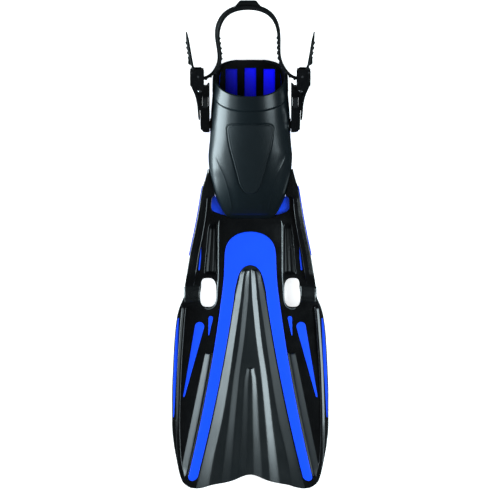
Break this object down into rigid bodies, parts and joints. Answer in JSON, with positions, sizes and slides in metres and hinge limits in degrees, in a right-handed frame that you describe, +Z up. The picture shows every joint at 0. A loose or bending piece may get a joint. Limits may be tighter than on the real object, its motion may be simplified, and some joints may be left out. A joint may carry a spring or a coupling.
{
  "type": "open-heel swim fin",
  "caption": "Open-heel swim fin with a hollow foot pocket, pivoting channel blade with blue spines, ratchet heel strap and quick-release buckles.",
  "frame": {"origin": "centre of the sole's flat rest face, under the foot", "axes": "+Y along the fin to the heel (the blade runs to -Y), +Z up out of the sole, +X to the wearer's left with the toe pointing to -Y"},
  "size_m": [0.224, 0.6942, 0.096],
  "materials": {
    "pocket_rubber": "glossy moulded thermoplastic rubber",
    "panel_rubber": "matte moulded rubber",
    "footbed_rubber": "matte",
    "tread_rubber": "matte, ribbed",
    "blue_plastic": "semi-gloss technopolymer",
    "frame_rubber": "glossy black rubber",
    "band_rubber": "soft matte rubber",
    "channel_rubber": "glossy flexible rubber",
    "strap_rubber": "satin rubber",
    "buckle_plastic": "glossy nylon",
    "tab_plastic": "satin nylon",
    "roller_plastic": "satin acetal",
    "steel": "stainless steel"
  },
  "bodies": {
    "foot_section": {"foot_pocket": "pocket_rubber", "instep_panel": "panel_rubber", "footbed": "footbed_rubber", "chassis": "blue_plastic", "sole_tread": "tread_rubber", "side_rail_left": "frame_rubber", "side_rail_right": "frame_rubber", "rail_strip_left": "blue_plastic", "rail_strip_right": "blue_plastic", "rail_inlay_left": "blue_plastic", "rail_inlay_right": "blue_plastic", "throat_plate": "frame_rubber", "arch_panel": "blue_plastic", "flex_band_left": "band_rubber", "flex_band_right": "band_rubber", "stud_left": "buckle_plastic", "stud_right": "buckle_plastic"},
    "blade": {"blade_frame": "frame_rubber", "spine_left": "blue_plastic", "spine_right": "blue_plastic", "center_channel": "channel_rubber", "outer_channel_left": "channel_rubber", "outer_channel_right": "channel_rubber", "blade_rail_left": "frame_rubber", "blade_rail_right": "frame_rubber", "short_inlay_left": "blue_plastic", "short_inlay_right": "blue_plastic", "long_inlay_left": "blue_plastic", "long_inlay_right": "blue_plastic", "edge_strip_left": "blue_plastic", "edge_strip_right": "blue_plastic"},
    "strap": {"heel_strap": "strap_rubber"},
    "buckle_left": {"buckle_clip_left": "buckle_plastic", "buckle_receiver_left": "buckle_plastic", "roller_pin_left": "steel", "receiver_pin_left": "steel", "lever_pin_left": "steel", "lever_spring_left": "steel"},
    "lever_left": {"pawl_lever_left": "buckle_plastic"},
    "roller_left": {"strap_roller_left": "roller_plastic"},
    "tab_top_left": {"release_tab_top_left": "tab_plastic"},
    "tab_bottom_left": {"release_tab_bottom_left": "tab_plastic"},
    "buckle_right": {"buckle_clip_right": "buckle_plastic", "buckle_receiver_right": "buckle_plastic", "roller_pin_right": "steel", "receiver_pin_right": "steel", "lever_pin_right": "steel", "lever_spring_right": "steel"},
    "lever_right": {"pawl_lever_right": "buckle_plastic"},
    "roller_right": {"strap_roller_right": "roller_plastic"},
    "tab_top_right": {"release_tab_top_right": "tab_plastic"},
    "tab_bottom_right": {"release_tab_bottom_right": "tab_plastic"}
  },
  "joints": [
    {"name": "blade_pivot", "type": "hinge", "parent": "foot_section", "child": "blade", "pos_m": [0, -0.233, 0.026], "axis": [1, 0, 0], "range_deg": [-20, 20], "stiffness_Nm_per_rad": 6},
    {"name": "strap_swing", "type": "hinge", "parent": "foot_section", "child": "strap", "pos_m": [0, 0.007, 0.045], "axis": [1, 0, 0], "range_deg": [-1, 125]},
    {"name": "buckle_swivel_left", "type": "hinge", "parent": "foot_section", "child": "buckle_left", "pos_m": [-0.0645, 0.007, 0.045], "axis": [1, 0, 0], "range_deg": [-1, 125]},
    {"name": "lever_left_release", "type": "hinge", "parent": "buckle_left", "child": "lever_left", "pos_m": [-0.0834, 0.08226, 0.05558], "axis": [0, 0.1392, -0.9903], "range_deg": [0, 28], "stiffness_Nm_per_rad": 0.12, "springref_deg": -17.19},
    {"name": "roller_left_spin", "type": "hinge", "parent": "buckle_left", "child": "roller_left", "pos_m": [-0.074, 0.07671, 0.0548], "axis": [0, -0.1392, 0.9903], "continuous": true},
    {"name": "tab_top_left_press", "type": "slide", "parent": "buckle_left", "child": "tab_top_left", "axis": [0, 0.1392, -0.9903], "range_m": [0, 0.0025], "stiffness_N_per_m": 900, "springref_m": -0.001},
    {"name": "tab_bottom_left_press", "type": "slide", "parent": "buckle_left", "child": "tab_bottom_left", "axis": [0, -0.1392, 0.9903], "range_m": [0, 0.0025], "stiffness_N_per_m": 900, "springref_m": -0.001},
    {"name": "buckle_swivel_right", "type": "hinge", "parent": "foot_section", "child": "buckle_right", "pos_m": [0.0645, 0.007, 0.045], "axis": [1, 0, 0], "range_deg": [-1, 125]},
    {"name": "lever_right_release", "type": "hinge", "parent": "buckle_right", "child": "lever_right", "pos_m": [0.0834, 0.08226, 0.05558], "axis": [0, -0.1392, 0.9903], "range_deg": [0, 28], "stiffness_Nm_per_rad": 0.12, "springref_deg": -17.19},
    {"name": "roller_right_spin", "type": "hinge", "parent": "buckle_right", "child": "roller_right", "pos_m": [0.074, 0.07671, 0.0548], "axis": [0, -0.1392, 0.9903], "continuous": true},
    {"name": "tab_top_right_press", "type": "slide", "parent": "buckle_right", "child": "tab_top_right", "axis": [0, 0.1392, -0.9903], "range_m": [0, 0.0025], "stiffness_N_per_m": 900, "springref_m": -0.001},
    {"name": "tab_bottom_right_press", "type": "slide", "parent": "buckle_right", "child": "tab_bottom_right", "axis": [0, -0.1392, 0.9903], "range_m": [0, 0.0025], "stiffness_N_per_m": 900, "springref_m": -0.001}
  ],
  "couplings": [
    {"joint": "buckle_swivel_left", "follows": "strap_swing", "ratio": 1},
    {"joint": "tab_bottom_left_press", "follows": "tab_top_left_press", "ratio": 1},
    {"joint": "buckle_swivel_right", "follows": "strap_swing", "ratio": 1},
    {"joint": "tab_bottom_right_press", "follows": "tab_top_right_press", "ratio": 1}
  ]
}
